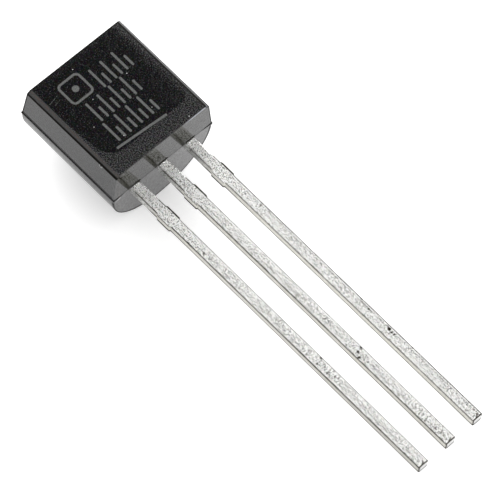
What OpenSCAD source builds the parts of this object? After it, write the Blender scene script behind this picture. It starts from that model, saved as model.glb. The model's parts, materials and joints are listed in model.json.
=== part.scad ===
// TO-92 transistor: a moulded body with a flat face and a round back, on three in-line leads.
// It lies face up, as it comes to rest: on the round back's edge and on the tips of the leads.

/* [Body] */
// Width of the body at the parting line
body_w = 4.58; // [4.3:0.01:4.9]
// Height of the body, along the leads
body_h = 4.64; // [4.3:0.01:4.9]
// Depth from the parting line to the flat face
front_depth = 1.38; // [1.2:0.02:1.5]
// Straight depth behind the parting line, before the back turns round
back_flank = 0.1; // [0.02:0.02:0.2]
// Lean of each side over the depth of the front
side_lean = 0.15; // [0.05:0.01:0.2]
// Lean of each end over the depth of the front
front_end_lean = 0.09; // [0.05:0.01:0.15]
// Lean of each end over the depth of the back
back_end_lean = 0.07; // [0.03:0.01:0.15]
// Width of the bevel along each side of the flat face
bevel_w = 0.13; // [0.08:0.01:0.2]
// Depth of the bevel
bevel_depth = 0.11; // [0.08:0.01:0.2]
// Radius of the long edges of the bevels
bevel_r = 0.1; // [0.02:0.01:0.12]
// Radius of the moulded edges at the ends of the flat face
mould_r = 0.025; // [0.01:0.005:0.04]

/* [Parting lip] */
// Thickness of the lip that the mould leaves at the parting line
lip_t = 0.05; // [0.03:0.01:0.08]
// How far the lip stands out
lip_out = 0.03; // [0.01:0.01:0.05]
// Distance in which the lip dies out from each corner of the lead end
lip_fade = 0.55; // [0.3:0.05:0.6]

/* [Leads] */
// Distance between the middles of neighbouring leads
lead_pitch = 1.27; // [1.2:0.01:1.3]
// Width of a lead
lead_w = 0.43; // [0.38:0.01:0.5]
// Thickness of the sheet that the leads are stamped from
lead_t = 0.38; // [0.34:0.01:0.45]
// Length of a lead, from the body to its tip
lead_len = 14.03; // [12.7:0.01:15]
// Radius of a lead's long edges on the face side, where the punch rolls them over
lead_edge_r = 0.06; // [0.03:0.005:0.08]
// Radius of these edges between the body and the stubs
root_edge_r = 0.08; // [0.03:0.005:0.1]
// Radius of a lead's long edges on the back, where the punch leaves them sharper
back_edge_r = 0.02; // [0.01:0.005:0.04]
// Radius of the face edge that the cut at the tip rolls over
tip_roll_r = 0.09; // [0.04:0.01:0.12]
// Radius of the tip's corners
tip_corner_r = 0.05; // [0.02:0.01:0.1]

/* [Dam bar stubs] */
// Distance from the body to the stubs that the cut dam bar leaves on each lead
stub_start = 1.28; // [1.1:0.02:1.6]
// Length of a stub, along the lead
stub_len = 0.74; // [0.6:0.02:0.8]
// How far a stub stands out from the left side of the lead
stub_out_left = 0.045; // [0.015:0.005:0.08]
// How far a stub stands out from the right side of the lead
stub_out_right = 0.02; // [0.015:0.005:0.08]
// Length of the slope at each end of a stub
stub_slope = 0.07; // [0.04:0.01:0.1]

/* [Lead frame in the body] */
// Distance from the lead end of the body to the bond posts
post_start = 0.9; // [0.7:0.05:1]
// Width of a bond post
post_w = 0.9; // [0.7:0.05:1]
// Length of a bond post, along the leads
post_len = 0.8; // [0.6:0.05:0.9]
// Gap along the leads between the posts and the flag
frame_gap = 0.2; // [0.15:0.05:0.3]
// Width of the flag that carries the chip
flag_w = 1.9; // [1.6:0.05:2.2]
// Length of the flag, along the leads
flag_len = 1.7; // [1.4:0.05:1.8]
// Radius of the corners of the posts and the flag
stamp_r = 0.12; // [0.05:0.01:0.2]

/* [Chip and bond wires] */
// Side of the square chip
die_side = 0.8; // [0.6:0.05:1]
// Thickness of the chip
die_t = 0.22; // [0.15:0.01:0.3]
// Thickness of the adhesive under the chip
attach_t = 0.03; // [0.02:0.005:0.05]
// How far the adhesive shows round the chip
attach_rim = 0.06; // [0.03:0.01:0.1]
// Distance from the middle of the chip to each bond pad
pad_offset = 0.2; // [0.1:0.01:0.22]
// Diameter of the bond wires
wire_d = 0.05; // [0.03:0.005:0.06]
// Diameter of the bonds at the ends of a wire
bond_d = 0.12; // [0.1:0.01:0.15]
// Thickness of the bonds
bond_t = 0.035; // [0.03:0.005:0.05]
// Rise of a wire's loop over the line between its bonds
wire_rise = 0.45; // [0.3:0.05:0.6]

/* [Hidden] */
$fn = 96;
arc_steps = 5;
moulding_colour = [0.11, 0.11, 0.12];
tin_colour = [0.83, 0.83, 0.81];
silver_colour = [0.7, 0.7, 0.72];
silicon_colour = [0.3, 0.34, 0.42];
gold_colour = [0.9, 0.72, 0.3];

// Places of the leads, in pitches from the middle one
LEFT = -1;
MIDDLE = 0;
RIGHT = 1;

back_depth = back_flank + body_w / 2;
flag_start = post_start + post_len + frame_gap;
die_y = flag_start + flag_len / 2;
die_top = attach_t + die_t;
post_y = post_start + post_len / 2;

// The part leans on the back's edge at the lead end and on the lower edges of the tips
rest_tilt = atan2(back_depth - lead_t, lead_len + back_end_lean);
tip_reach = lead_len * cos(rest_tilt) - tip_roll_r * sin(rest_tilt);
back_reach = (body_h - back_end_lean) * cos(rest_tilt) + back_depth * sin(rest_tilt);
rest_y = (tip_reach - back_reach) / 2;
rest_z = lead_len * sin(rest_tilt) + lead_t * cos(rest_tilt);

function unit(v) = v / norm(v);

// Points of the arc of radius r that rounds the corner p of an outline
function corner_arc(p, before, after, r) =
    let (
        back_way = unit(before - p),
        on_way = unit(after - p),
        half = acos(back_way * on_way) / 2,
        turn = 180 - 2 * half,
        centre = p + unit(back_way + on_way) * r / sin(half),
        first = p + back_way * r / tan(half) - centre,
        last = p + on_way * r / tan(half) - centre
    )
    [
        for (i = [0 : arc_steps])
            let (share = i / arc_steps)
                centre + (first * sin(turn * (1 - share)) + last * sin(turn * share)) / sin(turn)
    ];

// An outline with each of its corners rounded to its own radius, or left sharp where that is 0
function rounded(points, radii) = [
    for (i = [0 : len(points) - 1])
        let (n = len(points), before = points[(i + n - 1) % n], after = points[(i + 1) % n])
            each radii[i] == 0 ? [points[i]] : corner_arc(points[i], before, after, radii[i])
];

function mirrored(points) = [for (i = [len(points) - 1 : -1 : 0]) [-points[i][0], points[i][1]]];

// Turns the part from its own frame, in which the flat face looks along +Z, to how it lies
module at_rest() {
    translate([0, rest_y, rest_z])
        rotate([rest_tilt, 0, 0])
            children();
}

// Extrudes an XZ profile along Y
module along_y(from, to) {
    translate([0, to, 0])
        rotate([90, 0, 0])
            linear_extrude(to - from)
                children();
}

// Extrudes a YZ profile across X, to both sides of the middle
module across_x(width) {
    rotate([90, 0, 90])
        linear_extrude(width, center = true)
            children();
}

// Front of the moulding: drafted sides with a bevel along each, and drafted ends
module front_half() {
    foot = [body_w / 2, 0];
    bevel_foot = [body_w / 2 - side_lean * (1 - bevel_depth / front_depth), front_depth - bevel_depth];
    bevel_top = [body_w / 2 - side_lean - bevel_w, front_depth];
    right_side = [foot, bevel_foot, bevel_top];
    radii = [0, bevel_r, bevel_r, bevel_r, bevel_r, 0];
    intersection() {
        along_y(0, body_h)
            polygon(rounded(concat(right_side, mirrored(right_side)), radii));
        across_x(body_w)
            polygon(rounded([
                [0, 0],
                [body_h, 0],
                [body_h - front_end_lean, front_depth],
                [front_end_lean, front_depth]
            ], [0, 0, mould_r, mould_r]));
    }
}

// Back of the moulding: a half round between drafted ends
module back_half() {
    intersection() {
        along_y(0, body_h) {
            translate([-body_w / 2, -back_flank])
                square([body_w, back_flank]);
            intersection() {
                translate([0, -back_flank])
                    circle(d = body_w);
                translate([-body_w / 2, -back_depth])
                    square([body_w, body_w / 2]);
            }
        }
        across_x(body_w)
            polygon([
                [0, 0],
                [back_end_lean, -back_depth],
                [body_h - back_end_lean, -back_depth],
                [body_h, 0]
            ]);
    }
}

// Lip at the parting line, which dies out before it reaches the leads
module parting_lip() {
    corner_x = body_w / 2 + lip_out;
    right_side = [[corner_x - lip_fade, 0], [corner_x, -lip_out], [corner_x, body_h + lip_out]];
    radii = [0, lip_out, lip_out, lip_out, lip_out, 0];
    translate([0, 0, -lip_t])
        linear_extrude(lip_t)
            polygon(rounded(concat(right_side, mirrored(right_side)), radii));
}

// Straight length of a lead, with its long edges rounded to radius r on the face side
module lead_run(from, to, r) {
    half_w = lead_w / 2;
    along_y(from, to)
        polygon(rounded([
            [-half_w, -lead_t],
            [half_w, -lead_t],
            [half_w, 0],
            [-half_w, 0]
        ], [back_edge_r, back_edge_r, r, r]));
}

// Outer length of a lead, from the stubs to its rolled tip
module outer_lead() {
    half_w = lead_w / 2;
    intersection() {
        lead_run(-lead_len, -stub_start, lead_edge_r);
        translate([0, 0, -lead_t])
            linear_extrude(lead_t)
                polygon(rounded([
                    [-half_w, -lead_len],
                    [half_w, -lead_len],
                    [half_w, -stub_start],
                    [-half_w, -stub_start]
                ], [tip_corner_r, tip_corner_r, 0, 0]));
        across_x(lead_w)
            polygon(rounded([
                [-lead_len, -lead_t],
                [-stub_start, -lead_t],
                [-stub_start, 0],
                [-lead_len, 0]
            ], [0, 0, 0, tip_roll_r]));
    }
}

// What is left of the dam bar on both sides of a lead
module dam_bar_stubs() {
    left_x = -lead_w / 2 - stub_out_left;
    right_x = lead_w / 2 + stub_out_right;
    inner_x = lead_w / 2 - root_edge_r;
    near_y = -stub_start;
    far_y = near_y - stub_len;
    translate([0, 0, -lead_t])
        linear_extrude(lead_t)
            polygon([
                [-inner_x, far_y],
                [inner_x, far_y],
                [right_x, far_y + stub_slope],
                [right_x, near_y - stub_slope],
                [inner_x, near_y],
                [-inner_x, near_y],
                [left_x, near_y - stub_slope],
                [left_x, far_y + stub_slope]
            ]);
}

// Flat head of a lead inside the body
module lead_head(width, start, length) {
    translate([0, 0, -lead_t])
        linear_extrude(lead_t)
            polygon(rounded([
                [-width / 2, start],
                [width / 2, start],
                [width / 2, start + length],
                [-width / 2, start + length]
            ], [stamp_r, stamp_r, stamp_r, stamp_r]));
}

// A lead, stamped in one piece with its bond post or, in the middle, with the flag
module lead_shape(place) {
    translate([place * lead_pitch, 0, 0]) {
        outer_lead();
        dam_bar_stubs();
        if (place == MIDDLE) {
            lead_run(-stub_start, flag_start + stamp_r, root_edge_r);
            lead_head(flag_w, flag_start, flag_len);
        } else {
            lead_run(-stub_start, post_start + stamp_r, root_edge_r);
            lead_head(post_w, post_start, post_len);
        }
    }
}

// Square plate centred over the flag
module plate_on_flag(side, from_z, thickness) {
    translate([-side / 2, die_y - side / 2, from_z])
        cube([side, side, thickness]);
}

module attach_shape() {
    plate_on_flag(die_side + 2 * attach_rim, 0, attach_t);
}

module die_shape() {
    plate_on_flag(die_side, attach_t, die_t);
}

// Wire in a round loop between a pad on the chip and the post at place
module wire_shape(place) {
    pad = [place * pad_offset, die_y, die_top];
    post = [place * lead_pitch, post_y, 0];
    span = post - pad;
    reach = norm([span[0], span[1]]);
    chord = norm(span);
    loop_r = (chord * chord / 4 + wire_rise * wire_rise) / (2 * wire_rise);
    half_turn = asin(chord / 2 / loop_r);
    difference() {
        union() {
            translate(pad)
                cylinder(d = bond_d, h = bond_t);
            translate(post)
                cylinder(d = bond_d, h = bond_t);
            translate((pad + post) / 2)
                rotate([0, 0, atan2(span[1], span[0])])
                    rotate([90, atan2(-span[2], reach), 0])
                        translate([0, wire_rise - loop_r, 0])
                            rotate([0, 0, 90 - half_turn])
                                rotate_extrude(angle = 2 * half_turn)
                                    translate([loop_r, 0])
                                        circle(d = wire_d);
        }
        die_shape();
        lead_shape(place);
    }
}

// The moulding closes tightly round all that it holds
module body() {
    color(moulding_colour)
        at_rest()
            difference() {
                union() {
                    front_half();
                    back_half();
                    parting_lip();
                }
                for (place = [LEFT, MIDDLE, RIGHT])
                    lead_shape(place);
                attach_shape();
                die_shape();
                wire_shape(LEFT);
                wire_shape(RIGHT);
            }
}

module lead(place) {
    color(tin_colour)
        at_rest()
            lead_shape(place);
}

module die_attach() {
    color(silver_colour)
        at_rest()
            attach_shape();
}

module silicon_die() {
    color(silicon_colour)
        at_rest()
            die_shape();
}

module wire(place) {
    color(gold_colour)
        at_rest()
            wire_shape(place);
}

body();
lead(LEFT);  // lead_left
lead(MIDDLE);  // lead_middle
lead(RIGHT);  // lead_right
die_attach();
silicon_die();
wire(LEFT);  // wire_left
wire(RIGHT);  // wire_right
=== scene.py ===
import json
import math
import bpy
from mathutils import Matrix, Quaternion, Vector


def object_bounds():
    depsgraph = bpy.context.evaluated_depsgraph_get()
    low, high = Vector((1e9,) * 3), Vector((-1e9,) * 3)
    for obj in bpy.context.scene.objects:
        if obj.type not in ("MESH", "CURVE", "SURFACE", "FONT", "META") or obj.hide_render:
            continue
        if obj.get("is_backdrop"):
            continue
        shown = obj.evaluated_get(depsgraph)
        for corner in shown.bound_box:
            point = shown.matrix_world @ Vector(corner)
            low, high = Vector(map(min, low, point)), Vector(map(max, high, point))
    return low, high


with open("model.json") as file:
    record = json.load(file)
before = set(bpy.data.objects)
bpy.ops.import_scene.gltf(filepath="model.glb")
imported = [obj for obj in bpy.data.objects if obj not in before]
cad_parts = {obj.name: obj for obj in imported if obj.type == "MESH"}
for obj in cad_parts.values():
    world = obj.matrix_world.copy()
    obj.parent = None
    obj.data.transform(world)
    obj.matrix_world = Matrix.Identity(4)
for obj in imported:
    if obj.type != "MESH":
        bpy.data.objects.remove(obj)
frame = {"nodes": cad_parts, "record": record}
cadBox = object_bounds()
nodes = frame["nodes"]
mounts = {mount["name"]: mount for mount in frame["record"]["mounts"]}
mm = 0.001
leadPitch = 1.27  # millimetres from one lead's middle to the next
lean = math.atan2(-mounts["marked_face"]["axis"][1], mounts["marked_face"]["axis"][2])
print("frame loaded, the part leans by", round(math.degrees(lean), 2), "degrees")


class Tone:  # a shader socket that takes part in sums
    def __init__(self, shader, socket):
        self.shader = shader
        self.socket = socket

    def maths(self, operation, *values):
        return self.shader.add("ShaderNodeMath", {"operation": operation}, dict(enumerate(values)))

    def __add__(self, other):
        return self.maths("ADD", self, other)

    def __radd__(self, other):
        return self.maths("ADD", other, self)

    def __sub__(self, other):
        return self.maths("SUBTRACT", self, other)

    def __rsub__(self, other):
        return self.maths("SUBTRACT", other, self)

    def __mul__(self, other):
        return self.maths("MULTIPLY", self, other)

    def __rmul__(self, other):
        return self.maths("MULTIPLY", other, self)

    def __truediv__(self, other):
        return self.maths("DIVIDE", self, other)

    def __pow__(self, other):
        return self.maths("POWER", self, other)

    def __mod__(self, other):
        return self.maths("FLOORED_MODULO", self, other)

    def __abs__(self):
        return self.maths("ABSOLUTE", self)

    def __round__(self):
        return self.maths("ROUND", self)

    def __or__(self, other):  # the larger of two
        return self.maths("MAXIMUM", self, other)

    def __and__(self, other):  # the smaller of two
        return self.maths("MINIMUM", self, other)

    def step(self, low, high):  # 0 below low, 1 above high, soft between them
        return self.shader.add("ShaderNodeMapRange", {"interpolation_type": "SMOOTHSTEP"},
                               {"Value": self, "From Min": low, "From Max": high})

    def fade(self, low, high):  # 1 below low, 0 above high, soft between them
        return 1 - self.step(low, high)

    def band(self, low, full, fading, high):  # 1 from full to fading, 0 below low and above high
        return self.step(low, full) - self.step(fading, high)


class Shader:
    def __init__(self, tree):
        self.tree = tree
        tree.nodes.clear()

    def add(self, kind, settings=None, inputs=None, out=0):
        node = self.tree.nodes.new(kind)
        for name, value in (settings or {}).items():
            setattr(node, name, value)
        for name, value in (inputs or {}).items():
            if isinstance(value, Tone):
                self.tree.links.new(value.socket, node.inputs[name])
            else:
                node.inputs[name].default_value = value
        return Tone(self, node.outputs[out]) if node.outputs else node

    def other(self, tone, out):  # another output of the node behind a tone
        return Tone(self, tone.socket.node.outputs[out])

    def split(self, vector):
        x = self.add("ShaderNodeSeparateXYZ", inputs={0: vector})
        return x, self.other(x, 1), self.other(x, 2)

    def rays(self):  # 1 for what the camera sees, and 1 for what glossy faces mirror
        seen = self.add("ShaderNodeLightPath", out="Is Camera Ray")
        return seen, self.other(seen, "Is Glossy Ray")

    def turned(self, place, rotation, scale=(1, 1, 1)):
        return self.add("ShaderNodeMapping", {"vector_type": "TEXTURE"},
                        {"Vector": place, "Rotation": rotation, "Scale": scale})

    def noise(self, place, perMm, detail=2, roughness=0.5, seed=0):
        return self.add("ShaderNodeTexNoise", {"noise_dimensions": "4D"}, {
            "Vector": place, "W": seed, "Scale": perMm, "Detail": detail, "Roughness": roughness})

    def cells(self, place, perMm, out="Color"):
        return self.add("ShaderNodeTexVoronoi", {}, {"Vector": place, "Scale": perMm}, out=out)

    def specks(self, place, perMm, share, size):  # round specks in a share of the cells
        cells = self.cells(place, perMm, "Distance")
        lot = self.split(self.other(cells, "Color"))[0]
        return cells.fade(size * 0.6, size) * lot.step(1 - share, 1.001 - share)

    def blend(self, factor, a, b):
        colours = {6: a if isinstance(a, Tone) else (*a, 1), 7: b if isinstance(b, Tone) else (*b, 1)}
        return self.add("ShaderNodeMix", {"data_type": "RGBA"}, {0: factor, **colours}, out=2)

    def bump(self, height, strength, depth):  # the depth is in millimetres
        return self.add("ShaderNodeBump", {}, {
            "Strength": strength, "Distance": depth * mm, "Height": height})

    def hollow(self, colour):  # a dark place that mirrors next to nothing
        return self.add("ShaderNodeBsdfPrincipled", {}, {
            "Base Color": (*colour, 1), "Roughness": 0.8, "Specular IOR Level": 0.05})


def newMaterial(name):
    material = bpy.data.materials.new(name)
    material.use_nodes = True
    return material, Shader(material.node_tree)


def placeFrom(shader, mountName):  # millimetres from a mount, along the part's own sides
    coords = shader.add("ShaderNodeTexCoord", out="Object")
    return shader.add("ShaderNodeMapping", {"vector_type": "TEXTURE"}, {
        "Vector": coords, "Location": mounts[mountName]["pos_m"],
        "Rotation": (lean, 0, 0), "Scale": (mm, mm, mm)})


def give(material, *names):
    for name in names:
        nodes[name].data.materials.clear()
        nodes[name].data.materials.append(material)


def reach(a, b):  # distance from a point, from its two parts
    return (a ** 2 + b ** 2) ** 0.5


def roundBox(x, y, half, corner):  # distance outside a rounded box
    overX = abs(x) - (half[0] - corner) | 0
    overY = abs(y) - (half[1] - corner) | 0
    return reach(overX, overY) - corner


def capsule(x, y, start, end, half):  # distance outside a bar with round ends
    length = math.dist(start, end)
    wayX, wayY = (end[0] - start[0]) / length, (end[1] - start[1]) / length
    along = (x - start[0]) * wayX + (y - start[1]) * wayY
    across = (y - start[1]) * wayX - (x - start[0]) * wayY
    over = abs(along - length / 2) - length / 2 | 0
    return reach(over, across) - half


def fromLead(x):  # how far to the right of the nearest lead's middle
    return x - round(x / leadPitch) * leadPitch


marking = {
    "grey": (0.135, 0.14, 0.135), "stroke": 0.046, "pitch": 0.26, "long": 0.44, "short": 0.25,
    # first tick, how many ticks, and the height of the line that they stand on
    "rows": [(-0.02, 6, 0.6), (-0.98, 8, -0.3), (-1.06, 8, -1.25)],
    "bar": ((-1.31, -1.40), (0.77, -1.55)),
    "badge": (-0.84, 1.23), "badgeHalf": (0.45, 0.45), "badgeCorner": 0.16,
    "badgeStroke": 0.045, "badgeDot": 0.13}


def markingShape(x, y):  # distance outside the plain bars, ticks and badge
    shape = capsule(x, y, *marking["bar"], marking["stroke"])
    for first, count, foot in marking["rows"]:
        tick = round((x - first) / marking["pitch"]) & (count - 1) | 0
        half = marking["long"] - (tick % 2) * (marking["long"] - marking["short"])
        over = abs(y - foot - half) - half + marking["stroke"] | 0
        shape = shape & (reach(x - first - tick * marking["pitch"], over) - marking["stroke"])
    badgeX, badgeY = x - marking["badge"][0], y - marking["badge"][1]
    outline = abs(roundBox(badgeX, badgeY, marking["badgeHalf"], marking["badgeCorner"]))
    dot = reach(badgeX, badgeY) - marking["badgeDot"]
    return shape & (outline - marking["badgeStroke"]) & dot


# millimetres from the middle of the flat: x across, y to the far end, z out of the flat
moulding = {
    "black": (0.001, 0.001, 0.0013), "wornAndSheen": (0.045, 0.045, 0.045), "hollow": (0.006, 0.0055, 0.004),
    "side": (0.002, 0.002, 0.0024), "sideGrain": (0.1, 0.1, 0.1), "backEndLight": (0.035, 0.035, 0.037),
    "rimHighlightBrown": (0.07, 0.04, 0.028), "rimSheenGrey": (0.045, 0.043, 0.04), "highlightLineGrey": (0.04, 0.04, 0.042),
    "crestHighlight": (0.47, 0.49, 0.57), "rightEdgeHighlight": (0.1, 0.1, 0.105), "leadReflectionTint": (0.1, 0.102, 0.05),
    "speckGrey": (0.075, 0.075, 0.08), "dust": (0.6, 0.6, 0.6),
    "ior": 1.6, "gloss": 0.1, "satin": 0.31, "flankRoughness": 0.06, "satinGrain": 2.4,
    # how many to the millimetre, and for specks also their share of the places and their size
    "clouds": 1.3, "grains": 24, "patches": 7, "streaks": 13, "sheets": 9, "cells": 22,
    "grit": (13, 0.35, 0.3), "dustSpecks": (2.2, 0.1, 0.06),
    "streakTurn": 40, "streakLength": 7, "sheetLean": 0.1, "sheetLength": 4,
    "bumpStrength": 0.15, "bumpDepth": 0.004,
    # the parting plane's depth, the flat, its bevels, and the straight part and the radius of the back
    "depth": 1.38, "flatHalf": 2.01, "bevelDepth": 0.11, "backFlank": 0.1, "backRadius": 2.29,
    # where the lead end stops, and the places and leans of the edges
    "leadEnd": (-2.26, -2.2), "farEdge": 2.25, "farEnd": 2.32, "endLean": 0.065,
    "corner": 4.36, "cornerLean": 0.18, "shoulderHalf": 2.14, "shoulderLean": 0.118,
    "crestDepth": 0.045, "edgeStart": (2.04, 2.07), "edgeFoot": 0.16,
    # the glossy window of the flat
    "windowLean": 0.09, "windowMiddle": 0.75, "windowHalf": (1.93, 2.3), "windowCorner": 0.65,
    # the painted dark line at the bevels' foot: depth and slope of its upper and lower edge, and where it
    # starts
    "footTop": (0.08, 0.008), "footLow": (0.162, 0.012), "footStart": 2.03,
    # the parting line's height over its plane, its drop at the lead end, and the painted highlight lines
    # beside it
    "parting": 0.09, "partingDrop": 0.05, "highlightOver": 0.18, "highlightUnder": -0.11,
    # painted reflections of the leads above each lead: how they lean to the left, and where their dark left
    # side and the last one end
    "reflectionLean": 0.42, "reflectionHalf": 0.2, "reflectionLine": 0.27, "reflectionReach": 1.6,
    # a chip out of the left bevel's foot, at y and z, and a painted glint on the corner of the parting line
    "nick": (-1.47, -0.17), "nickHalf": 0.02, "glint": ((-2.19, -0.13), (-2, -0.13)), "glintHalf": 0.03,
    "dots": [(-0.41, 1.85, 0.022), (-0.68, 0.53, 0.02), (-0.84, -1.19, 0.024), (-1.38, -0.28, 0.02),
             (0.62, -1.02, 0.018)],
    "scratches": [((-1.93, 1.35), (-1.49, 1.44)), ((-1.8, 1.2), (-1.52, 1.27)), ((0.9, 0.75), (1.15, 0.62))],
    "scratchHalf": 0.01}


class BodyPlace:  # a shader's place on the body
    def __init__(self, shader):
        self.point = placeFrom(shader, "marked_face")
        self.x, self.y, self.z = shader.split(self.point)
        self.above = self.z + moulding["depth"]  # over the parting plane
        self.onFlat = self.z.step(-0.02, -0.008)
        self.leadEnd = self.y.fade(*moulding["leadEnd"])


def flatRoughness(at, cloud, fine):  # glossy window, satin towards the edges
    window = roundBox(at.x + at.y * moulding["windowLean"], at.y - moulding["windowMiddle"],
                      moulding["windowHalf"], moulding["windowCorner"])
    satin = window.step(-0.02, 0.06) | at.x.step(1.3, 2.1) * 0.8 | at.y.step(1.8, 2.3) * 0.3
    roughness = moulding["gloss"] + satin * (moulding["satin"] - moulding["gloss"])
    return roughness + (cloud - 0.5) * 0.06 + (fine - 0.5) * satin * moulding["satinGrain"]


def toLeadReflection(x):  # distance from the middle of the nearest of three painted lead reflections
    return abs(fromLead(x)) + (abs(x) - moulding["reflectionReach"] | 0) * 9


def leadReflectionsOf(at, fine):  # painted reflections of the leads, dark patches that lean to the left, with a darker left side, and a painted shadow at their foot over each lead
    leaning = at.x + at.above * moulding["reflectionLean"]
    leadReflection = toLeadReflection(leaning).fade(moulding["reflectionHalf"], moulding["reflectionHalf"] + 0.02) \
        * (0.15 + fine.step(0.35, 0.65) * 0.55 + at.above.fade(0.02, 0.16) * 0.3)
    leftSide = toLeadReflection(leaning + moulding["reflectionLine"]).fade(0.05, 0.08) * (0.8 - at.above * 0.35)
    foot = at.above.fade(0.1, 0.14) * abs(fromLead(at.x)).fade(0.2, 0.23) * 0.97
    return (leadReflection | leftSide | foot) * at.above.step(0, 0.02) * at.leadEnd


def seamsAndShadeLinesOf(at):  # 0 in the parting seam and in painted shade lines at the bevels' foot and the flat's right edge, 1 beside them
    footTop = at.z + moulding["footTop"][0] + at.y * moulding["footTop"][1]
    footLow = at.z + moulding["footLow"][0] + at.y * moulding["footLow"][1]
    foot = footTop.step(-0.015, 0.015) | footLow.fade(-0.02, 0.02)
    foot = foot | (moulding["footStart"] - abs(at.x)).step(0, 0.02)
    # the parting line is fine at the lead end, and open above each lead
    parting = abs(at.above - moulding["parting"] + at.leadEnd * moulding["partingDrop"]).step(0.004, 0.03)
    parting = parting | at.leadEnd * abs(fromLead(at.x)).step(0.22, 0.25) * 0.5
    rightEdgeShade = abs(at.x - moulding["flatHalf"]).step(0.03, 0.05) | 0.15 | (at.z * -1).step(0.03, 0.06)
    return foot & parting & rightEdgeShade


def edgeShadeOf(at):  # painted shade: how dark the outer edges are
    far = moulding["farEnd"] - at.above * moulding["endLean"] - at.y
    far = far.fade(0.04, 0.07) * (1 - at.x.step(-1, 0) * (1 - at.onFlat)) * at.above.step(-0.02, 0)
    half = moulding["shoulderHalf"] - (at.z + moulding["bevelDepth"]) * moulding["shoulderLean"]
    shoulder = (half - abs(at.x)).fade(0.03, 0.05) * at.leadEnd * at.above.step(-0.02, 0.02) * at.x.step(0, 1)
    arc = reach(at.x, at.above + moulding["backFlank"]) - moulding["backRadius"] + at.x.step(-2, -1) * 0.06
    arc = arc.step(-0.055, -0.025) * at.leadEnd * at.above.fade(-0.2, -0.1)
    return far * 0.8 | shoulder * 0.75 | arc * 0.75


def scratchesOf(at, fine):  # thin, and broken by the grain
    shape = capsule(at.x, at.y, *moulding["scratches"][0], moulding["scratchHalf"])
    for start, end in moulding["scratches"][1:]:
        shape = shape & capsule(at.x, at.y, start, end, moulding["scratchHalf"])
    return shape.fade(0, 0.012) * fine.step(0.45, 0.55) * at.onFlat


def dustOf(shader, at):  # stray specks, and some at places of their own
    dust = shader.specks(at.point, *moulding["dustSpecks"])
    for dotX, dotY, half in moulding["dots"]:
        dust = dust | reach(at.x - dotX, at.y - dotY).fade(half * 0.6, half)
    return dust * at.onFlat


def wearAndSheenOf(at, fine, patchy, streaks):  # a fine grain of wear with streaks more to the right, and a painted sheen at the right edge and the far end
    wearAndSheen = fine.step(0.5, 0.74) + patchy.step(0.5, 0.85) * 0.2
    wearAndSheen = wearAndSheen + streaks.step(0.5, 0.75) * at.x.step(-0.6, 1.6) * 0.35
    return wearAndSheen + (at.y.step(1.95, 2.25) * 0.15 | at.x.step(1.7, 2.05) * 0.35)


def edgeHighlights(at):  # painted highlights: shares and colours of the crest at the lead end and of the right edge
    crest = abs(at.z + moulding["crestDepth"]).fade(0.025, 0.045)
    crest = crest * at.y.fade(-2.2, -2.15) * at.x.step(0.9, 1.4)
    right = at.x.step(*moulding["edgeStart"]) * (at.z + moulding["edgeFoot"]).step(0, 0.03) * (1 - at.leadEnd)
    return [(crest, moulding["crestHighlight"]), (right, moulding["rightEdgeHighlight"])]


def leftRimHighlights(at, fine, patchy):  # painted sheen and highlight: shares and colours of the grey rim and the brown one beside the flat
    rim = at.x * -1 - moulding["flatHalf"]
    farRim = (at.y - moulding["farEdge"]).step(-0.03, -0.01) * 0.3
    broken = fine.step(0.35, 0.6)
    grey = rim.band(0.01, 0.05, 0.09, 0.12) * (0.4 + broken * 0.4)
    brown = rim.band(0, 0.02, 0.045, 0.07) * patchy.step(0.35, 0.6) * (0.35 + broken * 0.65)
    return [(grey | farRim, moulding["rimSheenGrey"]), (brown | farRim, moulding["rimHighlightBrown"])]


def paintedHighlightLines(at):  # painted highlight lines over and under the parting line, and down the left corner
    corner = moulding["corner"] + at.z * moulding["cornerLean"] + at.x + at.y
    beside = abs(at.above - moulding["highlightOver"]).step(0.025, 0.05) \
        & abs(at.above - moulding["highlightUnder"]).step(0.03, 0.06) & corner.step(0.03, 0.06)
    return (1 - beside) * (1 - at.onFlat)


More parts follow.
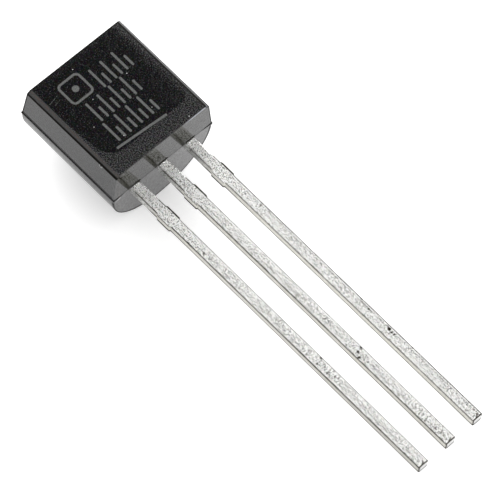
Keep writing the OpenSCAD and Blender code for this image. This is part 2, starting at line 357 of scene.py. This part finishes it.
def mouldingMaterial():
    material, shader = newMaterial("blackMoulding")
    at = BodyPlace(shader)
    cloud = shader.noise(at.point, moulding["clouds"], 3)
    fine = shader.noise(at.point, moulding["grains"], 1, 0.5, 5)
    patchy = shader.noise(at.point, moulding["patches"], 2, 0.5, 8)
    turn = math.radians(moulding["streakTurn"])
    streaked = shader.turned(at.point, (0, 0, turn), (moulding["streakLength"], 1, 1))
    streaks = shader.noise(streaked, moulding["streaks"], 1, 0.5, 2)
    sheeted = shader.turned(at.point, (0, moulding["sheetLean"], 0), (1, 1, moulding["sheetLength"]))
    sheet = shader.noise(sheeted, moulding["sheets"], 2, 0.6, 4)
    cells = shader.cells(at.point, moulding["cells"])
    cellLot = shader.split(cells)[0]
    leadReflections = leadReflectionsOf(at, fine)
    dust = dustOf(shader, at)
    grit = shader.specks(at.point, *moulding["grit"]) * at.onFlat
    nick = reach(at.y - moulding["nick"][0], at.z - moulding["nick"][1]) + at.x.step(-2, -1) * 9
    nickRim = abs(nick - moulding["nickHalf"] * 3).fade(0.01, 0.03)
    glint = capsule(at.x, at.above, *moulding["glint"], moulding["glintHalf"]).fade(0, 0.03) * at.leadEnd
    shape = markingShape(at.x, at.y)
    marked = (shape + (fine - 0.5) * 0.06).fade(-0.014, 0.014) * at.onFlat
    # the flat is black, with wear and a painted sheen that spare a border round each mark, and the sides are
    # grainy
    border = shape.fade(0.03, 0.06) * at.onFlat
    wearAndSheen = wearAndSheenOf(at, fine, patchy, streaks) & 1.3 - border
    sideGrain = cellLot ** 3 * 0.8 + (fine - 0.5) * 0.8 + (sheet - 0.5) * 0.3
    flat = shader.blend(wearAndSheen, moulding["black"], moulding["wornAndSheen"])
    colour = shader.blend(at.onFlat, shader.blend(sideGrain, moulding["side"], moulding["sideGrain"]), flat)
    for share, tint in [
            # painted reflected light: the back half's lead end face is made lighter
            (at.above.fade(-0.1, -0.04) * at.leadEnd * (0.7 + (fine - 0.5) * 2), moulding["backEndLight"]),
            # painted reflection of the leads, tinted olive
            (leadReflections * 0.8, moulding["leadReflectionTint"]),
            *edgeHighlights(at),
            (0.01, cells),
            (paintedHighlightLines(at) * 0.9, moulding["highlightLineGrey"]),
            *leftRimHighlights(at, fine, patchy),
            (grit * 0.8, moulding["speckGrey"]),
            (marked * (0.4 + fine.step(0.35, 0.62) * 0.6), marking["grey"]),
            (scratchesOf(at, fine) * 0.7, marking["grey"]),
            (dust | nickRim * 0.6, moulding["dust"]),
            # painted glint, in the dust's pale colour
            (glint, moulding["dust"])]:
        colour = shader.blend(share, colour, tint)
    roughness = at.onFlat * (flatRoughness(at, cloud, fine) - moulding["flankRoughness"])
    roughness = roughness + moulding["flankRoughness"] | marked * 0.6 | dust * 0.7
    height = fine * 0.25 - marked * 1.2 + dust * 2
    plastic = shader.add("ShaderNodeBsdfPrincipled", {}, {
        "Base Color": colour, "Roughness": roughness, "IOR": moulding["ior"],
        "Normal": shader.bump(height, moulding["bumpStrength"], moulding["bumpDepth"])})
    # the hollow shows in the seams and the nick, and partly in the painted lead reflections, the painted
    # shade of the outlines and the grain of the sides
    dark = leadReflections | edgeShadeOf(at) | (1 - at.onFlat) * cellLot * 0.3
    clear = seamsAndShadeLinesOf(at) & 1 - dark
    clear = clear & nick.step(moulding["nickHalf"], moulding["nickHalf"] * 2)
    surface = shader.add("ShaderNodeMixShader", {}, {
        0: clear, 1: shader.hollow(moulding["hollow"]), 2: plastic})
    shader.add("ShaderNodeOutputMaterial", {}, {"Surface": surface})
    return material


# millimetres from the middle lead's tip: x across, y to the body, z out of the punched side
tin = {
    "bright": (1.0, 1.0, 0.985), "dull": (0.16, 0.16, 0.152), "warm": (0.72, 0.68, 0.58),
    "flank": (0.5, 0.49, 0.445), "litFlank": (0.66, 0.645, 0.59), "sheared": (0.66, 0.66, 0.66),
    "line": (0.03, 0.025, 0.018), "roughness": 0.5, "bumpStrength": 0.5, "bumpDepth": 0.006,
    # how many to the millimetre, and how strongly the plating's grain shows
    "grains": 28, "cells": 30, "tinges": 20, "clouds": 3, "crystals": 22, "pinholes": (11, 0.04, 0.2),
    "grainTurn": (0.5, 0.7, 0.6), "grainGain": 8, "cellGain": 1.4, "brightness": 0.89,
    "length": 14.03, "half": 0.215, "thickHalf": 0.19, "edge": 0.06,
    # from the body: where the stretches next to it fade, and where the cut dam bar's rise and fade
    "near": (1.4, 3.2), "root": (0.7, 1.5), "start": (0.05, 0.1),
    "stub": (1.28, 1.35, 1.95, 2.02), "cut": (0.92, 0.97, 1.97, 2.02),
    # how far the stubs of the dam bar stand out
    "stubLeft": 0.045, "stubRight": 0.02,
    # the dull strip's distance from each side, and the burr on each tip
    "innerLeft": 0.14, "innerRight": 0.125, "burr": ((-0.05, 0.05), (0.04, 0.09)), "burrHalf": 0.012,
    # which lead, y, how far right of its middle, radius
    "pits": [(-1, 10.56, -0.07, 0.025), (-1, 5.02, -0.1, 0.025), (-1, 5.08, 0.15, 0.03),
             (-1, 4.54, -0.08, 0.025), (-1, 4.28, 0.02, 0.02), (-1, 4.76, 0.01, 0.02),
             (0, 4.42, -0.03, 0.03), (0, 4.24, -0.15, 0.03), (0, 4.46, 0.15, 0.03),
             (0, 4.86, -0.15, 0.022), (0, 3.92, -0.05, 0.02), (0, 6.04, -0.01, 0.02),
             (1, 4.32, 0.07, 0.04), (1, 4.18, 0.04, 0.025), (1, 5.32, 0.08, 0.028),
             (1, 4.06, 0.06, 0.022), (1, 10.6, 0.09, 0.02)]}


class LeadPlace:  # a shader's place on whichever lead is nearest
    def __init__(self, shader):
        self.point = placeFrom(shader, "leads")
        self.x, self.y, z = shader.split(self.point)
        lead = round(self.x / leadPitch)
        self.cross = self.x - lead * leadPitch
        self.rightmost = lead & 1 | 0  # 1 on the right lead
        self.notLeft = lead + 1 & 1  # 0 on the left lead
        self.fromBody = tin["length"] - self.y
        self.near = self.fromBody.fade(*tin["near"])
        self.root = self.fromBody.fade(*tin["root"])
        self.start = self.fromBody.fade(*tin["start"])
        stub = self.fromBody.band(*tin["stub"])
        self.fromLeft = tin["half"] + stub * tin["stubLeft"] + self.cross
        self.fromRight = tin["half"] + stub * tin["stubRight"] - self.cross
        self.aboveFoot = tin["thickHalf"] + z
        self.belowTop = tin["thickHalf"] - z
        self.onTop = self.belowTop.fade(0.03, tin["edge"])


def brightnessAndHighlightsOf(at, grain, cellLot, cloud):
    # painted highlights: a lighter strip beside each rolled edge, a bright line along the root's right edge
    # and at the body; painted shading that lightens the left and middle leads towards their right; a dull
    # strip further in, and a brighter root
    shine = (at.fromLeft & at.fromRight).band(0.02, 0.04, 0.07, 0.1)
    inner = (abs(at.fromLeft - tin["innerLeft"]) + at.rightmost
             & abs(at.fromRight - tin["innerRight"]) + 1 - at.rightmost).fade(0.004, 0.022)
    return (cellLot - 0.5) * tin["cellGain"] + grain * tin["grainGain"] + cloud * 0.2 + tin["brightness"] \
        + shine * 0.5 - inner * (0.4 + at.rightmost * 0.5) + at.cross * (1 - at.rightmost) * 1.3 \
        + at.near * 0.2 + at.root * 0.35 + at.root * at.fromRight.fade(0.07, 0.1) * 2 + at.start * 2


def sideLines(at, wobble):  # dark lines under the rolled left edge and along the right and the foot
    left = (reach(at.fromLeft, at.belowTop - 0.05) + wobble).fade(0.024, 0.038)
    left = left * (1 - at.notLeft * 0.12 - at.rightmost * 0.2) | at.fromLeft.fade(0.045, 0.08) * at.root * 0.3
    right = (at.fromRight + wobble - at.rightmost * 0.006).fade(0.04, 0.055)
    right = right * (0.75 + at.rightmost * 0.2) * (1 - at.root)
    foot = (reach(at.fromLeft, at.aboveFoot) - at.near * 0.02).fade(0.06, 0.1) * (0.85 + at.near * 0.15)
    return left * at.fromBody.step(0.1, 0.25) | right | foot * at.fromBody.step(0.6, 1.1)


def tipLines(at):  # sheared arrises and a burr
    lines = reach(at.y - 0.03, at.belowTop - 0.03).fade(0.02, 0.035) * 0.95
    lines = lines | reach(at.y, at.aboveFoot).fade(0.06, 0.09)
    lines = lines | reach(at.y, at.fromLeft).fade(0.025, 0.045) * 0.9
    lines = lines | reach(at.y, at.fromRight).fade(0.025, 0.045) * 0.8
    return lines | capsule(at.cross, at.y, *tin["burr"], tin["burrHalf"]).fade(0, 0.02) * at.onTop * 0.9


def pitsOf(shader, at, grain):  # stray pinholes, and ragged pits at places of their own
    pits = shader.specks(at.point, *tin["pinholes"]) * 0.6
    for lead, y, cross, size in tin["pits"]:
        away = reach(at.x - lead * leadPitch - cross, at.y - y) + grain * 0.02
        pits = pits | away.fade(size * 1.3, size * 1.9)
    return pits


def tinMaterial():
    material, shader = newMaterial("tinnedLeads")
    at = LeadPlace(shader)
    turned = shader.turned(at.point, tin["grainTurn"])
    grain = shader.noise(turned, tin["grains"], 0) - 0.5
    cellLot = shader.split(shader.cells(turned, tin["cells"]))[0]
    tinge = shader.noise(at.point, tin["tinges"], 1, 0.5, 6)
    cloud = shader.noise(at.point, tin["clouds"], 2, 0.5, 3) - 0.5
    brightness = brightnessAndHighlightsOf(at, grain, cellLot, cloud)
    colour = shader.blend(brightness & 1 | 0, tin["dull"], tin["bright"])
    colour = shader.blend(tinge.step(0.5, 0.7) * 0.3, colour, tin["warm"])
    colour = shader.blend(0.04, colour, shader.cells(at.point, tin["crystals"]))
    # painted shade: the left lead's flank darkens towards its tip, and the other two are lit pale all along;
    # the ends are sheared
    flank = shader.blend(at.y.step(3, 7) * 0.6 | at.notLeft, tin["flank"], tin["litFlank"])
    colour = shader.blend((1 - at.onTop) * (0.8 - at.root * 0.72 + grain * 1.5), colour, flank)
    colour = shader.blend(at.y.fade(0.002, 0.02) * 0.9, colour, tin["sheared"])
    metal = shader.add("ShaderNodeBsdfPrincipled", {}, {
        "Base Color": colour, "Roughness": tin["roughness"] - (brightness - 0.5) * 0.08, "Metallic": 1,
        "Normal": shader.bump(grain * 4, tin["bumpStrength"], tin["bumpDepth"])})
    # dark lines, a painted shadow in the gap at the body, the rough cuts of the dam bar, and pits
    wobble = cloud * 0.03 + (tinge - 0.5) * 0.03
    gapShadow = at.fromBody.fade(0.005, 0.02) * at.onTop * 0.5
    cut = (at.fromRight + grain * 0.04).fade(0.045, 0.07) * at.fromBody.band(*tin["cut"])
    dark = sideLines(at, wobble) | tipLines(at) | gapShadow | cut | pitsOf(shader, at, grain)
    surface = shader.add("ShaderNodeMixShader", {}, {0: dark, 1: metal, 2: shader.hollow(tin["line"])})
    shader.add("ShaderNodeOutputMaterial", {}, {"Surface": surface})
    return material


# colour, roughness, metallic, and grains to the millimetre
inside = {
    "silverAdhesive": ((0.55, 0.55, 0.53), 0.45, 0.8, 40),
    "silicon": ((0.16, 0.17, 0.2), 0.2, 0.6, 12),
    "goldWire": ((1.0, 0.72, 0.32), 0.2, 1, 60)}
insideBump = {"strength": 0.3, "depth": 0.002}


def insideMaterial(name):
    colour, roughness, metallic, perMm = inside[name]
    material, shader = newMaterial(name)
    grain = shader.noise(placeFrom(shader, "marked_face"), perMm, 3, 0.6)
    tinted = shader.blend(grain.step(0.3, 0.7), tuple(part * 0.75 for part in colour), colour)
    surface = shader.add("ShaderNodeBsdfPrincipled", {}, {
        "Base Color": tinted, "Roughness": roughness + grain * 0.1, "Metallic": metallic,
        "Normal": shader.bump(grain, insideBump["strength"], insideBump["depth"])})
    shader.add("ShaderNodeOutputMaterial", {}, {"Surface": surface})
    return material


give(mouldingMaterial(), "body")
give(tinMaterial(), "lead_left", "lead_middle", "lead_right")
give(insideMaterial("silverAdhesive"), "die_attach")
give(insideMaterial("silicon"), "silicon_die")
give(insideMaterial("goldWire"), "wire_left", "wire_right")
print("materials done")

floorFinish = {
    "side": 4000 * mm, "white": 0.8,
    # light of its own that the camera sees, which paints the part's shadow on the floor: the least, more in
    # the open, and more far from the part
    "lift": 0.24, "open": 0.52, "farLift": 0.3, "contact": 2.5 * mm,
    "under": (0, 6.9 * mm), "nearTo": 5 * mm, "farFrom": 9 * mm,
    # the same as the part's faces mirror it, with painted shade behind the part and painted light before it
    "mirroredLift": 0.44, "mirroredOpen": 0.36, "behind": 0.63, "before": 1.17, "turn": 4.5 * mm}


def makeFloor():
    bpy.ops.object.select_all(action="DESELECT")
    bpy.ops.mesh.primitive_plane_add(size=floorFinish["side"])
    floor = bpy.context.object
    floor.name = "floor"
    material, shader = newMaterial("paleFloor")
    seen, mirrored = shader.rays()
    diffuse = shader.add("ShaderNodeBsdfDiffuse", {}, {"Color": (floorFinish["white"],) * 3 + (1,)})
    # the glow dims where the part occludes the floor: a painted contact shadow
    openness = shader.add("ShaderNodeAmbientOcclusion", {"samples": 8},
                          {"Distance": floorFinish["contact"]}, out="AO")
    x, y = shader.split(shader.add("ShaderNodeTexCoord", out="Object"))[:2]
    before = (x - y + floorFinish["turn"]).step(-floorFinish["turn"], 0)
    mirrored = mirrored * (before * (floorFinish["before"] - floorFinish["behind"]) + floorFinish["behind"])
    far = reach(x - floorFinish["under"][0], y - floorFinish["under"][1]).step(
        floorFinish["nearTo"], floorFinish["farFrom"])
    level = seen * (openness * floorFinish["open"] + floorFinish["lift"] + far * floorFinish["farLift"]) \
        + mirrored * (openness * floorFinish["mirroredOpen"] + floorFinish["mirroredLift"])
    glow = shader.add("ShaderNodeEmission", {}, {"Strength": level})
    both = shader.add("ShaderNodeAddShader", {}, {0: diffuse, 1: glow})
    shader.add("ShaderNodeOutputMaterial", {}, {"Surface": both})
    floor.data.materials.append(material)
    floor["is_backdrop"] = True


makeFloor()
sky = {
    "fill": 0.7, "mirrored": 1.0,
    # patches that only glossy faces mirror: way to the middle, degrees to the fade's start and end, level
    "dark": ((0.351, 0.162, 0.922), 10, 20, 0.03),
    "bright": ((0.35, -0.278, 0.89), 8, 18, 2.5),
    "shine": ((0.9, 0.08, 0.42), 12, 28, 0.7)}


def skyPatch(shader, way, name):
    middle, full, gone, level = sky[name]
    toMiddle = shader.add("ShaderNodeVectorMath", {"operation": "DOT_PRODUCT"},
                          {0: way, 1: Vector(middle).normalized()}, out=1)
    return toMiddle.step(math.cos(math.radians(gone)), math.cos(math.radians(full))), level


def makeSky():
    world = bpy.data.worlds.new("studio")
    bpy.context.scene.world = world
    world.use_nodes = True
    shader = Shader(world.node_tree)
    seen, glossy = shader.rays()
    way = shader.add("ShaderNodeTexCoord", out="Generated")
    dark, darkLevel = skyPatch(shader, way, "dark")
    bright, brightLevel = skyPatch(shader, way, "bright")
    shine, shineLevel = skyPatch(shader, way, "shine")
    mirrored = (1 - bright * (1 - brightLevel)) * sky["mirrored"] + shine * shineLevel
    mirrored = mirrored - dark * (mirrored - darkLevel)
    level = seen | glossy * mirrored | (1 - glossy) * sky["fill"]
    background = shader.add("ShaderNodeBackground", {}, {"Color": (1, 1, 1, 1), "Strength": level})
    shader.add("ShaderNodeOutputWorld", {}, {"Surface": background})


makeSky()


def lookingAt(aim, name, data, way, distance, roll=0):  # an object that looks at the aim from a way off
    looker = bpy.data.objects.new(name, data)
    looker.rotation_mode = "QUATERNION"
    looker.rotation_quaternion = (-way).to_track_quat("-Z", "Y") @ Quaternion((0, 0, 1), math.radians(roll))
    looker.location = Vector(aim) + way * distance
    bpy.context.scene.collection.objects.link(looker)
    return looker


softbox = {"aim": (0, 0, 0), "azimuth": 60, "elevation": 25, "distance": 300 * mm,
           "width": 300 * mm, "height": 160 * mm, "level": 4}


def makeSoftbox():
    data = bpy.data.lights.new("softbox", "AREA")
    turn, rise = math.radians(softbox["azimuth"]), math.radians(softbox["elevation"])
    way = Vector((math.cos(rise) * math.cos(turn), math.cos(rise) * math.sin(turn), math.sin(rise)))
    data.shape, data.size, data.size_y = "RECTANGLE", softbox["width"], softbox["height"]
    # this power makes its face as bright as the level
    data.energy = softbox["level"] * math.pi * softbox["width"] * softbox["height"]
    lamp = lookingAt(softbox["aim"], "softbox", data, way, softbox["distance"])
    lamp.visible_camera = False


makeSoftbox()
# the way back from the aim, the roll in degrees, and the lens and the sensor in millimetres
camera = {"aim": (-0.0063 * mm, 0.2385 * mm, 1.5 * mm), "back": (-0.35071, -0.41288, 0.84055),
          "distance": 140.548 * mm, "roll": -3.9164, "lens": 298.39, "sensor": 36,
          "nearest": 10 * mm, "farthest": 10000 * mm}


def makeCamera():
    data = bpy.data.cameras.new("camera")
    data.sensor_width, data.lens = camera["sensor"], camera["lens"]
    data.clip_start, data.clip_end = camera["nearest"], camera["farthest"]
    bpy.context.scene.camera = lookingAt(
        camera["aim"], "camera", data, Vector(camera["back"]), camera["distance"], camera["roll"])


makeCamera()
bpy.context.scene.view_settings.view_transform = "Standard"
print("floor, sky, softbox and camera done")

{"cad": [list(c) for c in cadBox], "visual": [list(c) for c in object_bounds()]}
